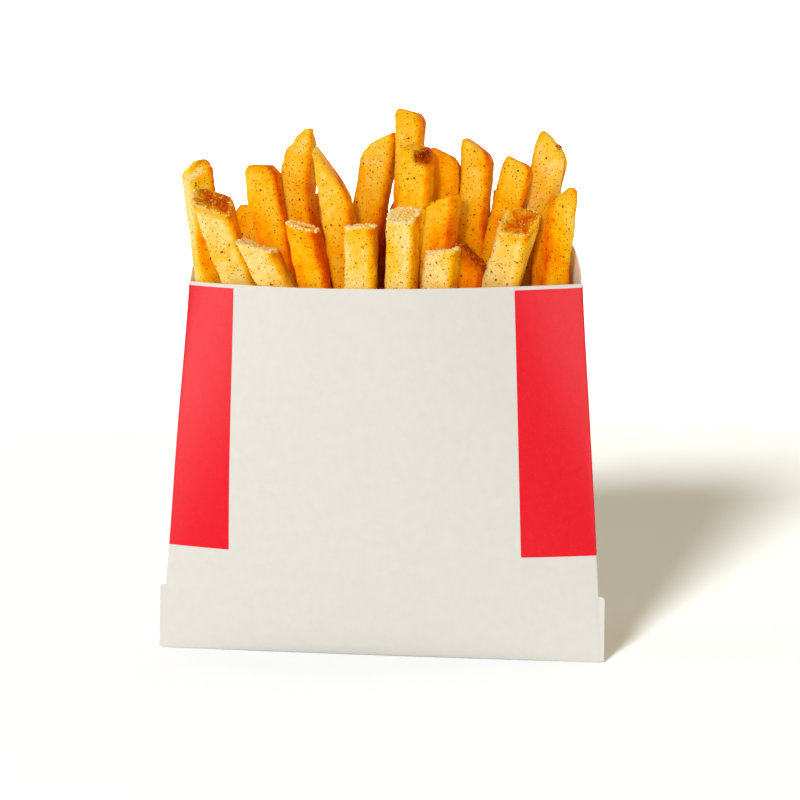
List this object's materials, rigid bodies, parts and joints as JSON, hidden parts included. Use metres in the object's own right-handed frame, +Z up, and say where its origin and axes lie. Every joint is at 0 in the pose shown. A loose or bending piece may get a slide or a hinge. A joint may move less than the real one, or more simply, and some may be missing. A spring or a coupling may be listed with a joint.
{
  "type": "french fries in a paperboard carton",
  "caption": "Seasoned french fries standing in an open paperboard carton with a flat base, a bowed front panel and a higher arched back.",
  "frame": {"origin": "on the surface that the carton stands on, midway between the object's widest points", "axes": "+Z up, -Y towards someone who faces the front panel, +X to that person's right"},
  "size_m": [0.1252, 0.05, 0.1494],
  "materials": {
    "white_paperboard": "matte",
    "fried_potato": "satin"
  },
  "bodies": {
    "root": {"carton": "white_paperboard", "fries": "fried_potato"}
  },
  "joints": []
}
